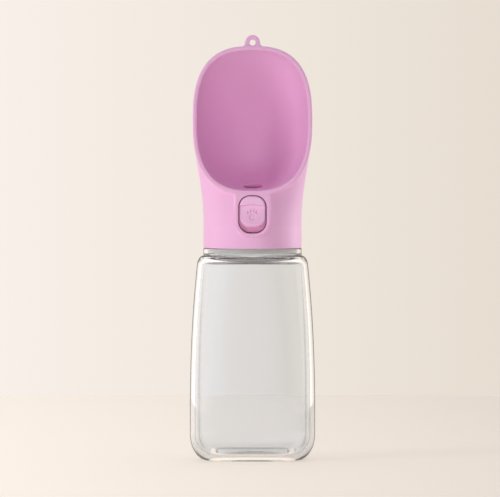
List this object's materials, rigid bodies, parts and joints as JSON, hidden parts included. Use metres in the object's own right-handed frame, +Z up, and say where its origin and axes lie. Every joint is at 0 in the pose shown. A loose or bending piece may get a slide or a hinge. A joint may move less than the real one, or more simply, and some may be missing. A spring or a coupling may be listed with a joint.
{
  "type": "dog travel water bottle",
  "caption": "Clear travel bottle with a screwed-on drinking scoop and a sliding thumb button that opens a spring valve, letting water into the scoop.",
  "frame": {"origin": "middle of the bottle's foot, on the surface that it stands on", "axes": "+Z up along the bottle, the drinking scoop and the button face -Y, +X is to the right when facing the button"},
  "size_m": [0.08, 0.068, 0.2717],
  "materials": {
    "clear_plastic": "clear, polished",
    "pink_shell": "satin gloss",
    "pink_button": "satin gloss",
    "pink_carrier": "fine matt",
    "white_plastic": "fine matt",
    "valve_plastic": "smooth",
    "silicone": "soft, translucent white",
    "black_rubber": "smooth",
    "steel": "bright"
  },
  "bodies": {
    "bottle": {"bottle": "clear_plastic"},
    "gasket": {"neck_gasket": "silicone"},
    "head": {"bowl_head": "pink_shell", "inner_cap": "white_plastic", "vent_valve": "silicone", "foot_gasket": "silicone", "valve_body": "valve_plastic", "valve_screws": "steel", "valve_spring": "steel", "spring_plug": "valve_plastic", "plug_o_ring": "black_rubber", "outlet_seal": "silicone"},
    "plunger": {"button_carrier": "pink_carrier", "carrier_screw": "steel", "valve_stem": "valve_plastic", "stem_o_ring": "black_rubber", "poppet_seal": "silicone", "poppet_clip": "steel"},
    "button": {"button_cap": "pink_button"}
  },
  "joints": [
    {"name": "head_lift", "type": "slide", "parent": "bottle", "child": "gasket", "axis": [0, 0, 1], "range_m": [0, 0.012]},
    {"name": "head_turn", "type": "hinge", "parent": "gasket", "child": "head", "pos_m": [0, 0, 0.1355], "axis": [0, 0, 1], "range_deg": [0, 720]},
    {"name": "button_press", "type": "slide", "parent": "head", "child": "plunger", "axis": [0, 1, 0], "range_m": [0, 0.003], "stiffness_N_per_m": 1500, "springref_m": -0.003, "deforming": ["valve_spring"]},
    {"name": "lock_slide", "type": "slide", "parent": "plunger", "child": "button", "axis": [0, 0, -1], "range_m": [0, 0.003]}
  ],
  "couplings": [
    {"joint": "head_lift", "follows": "head_turn", "m_per_rad": 0.000954}
  ]
}
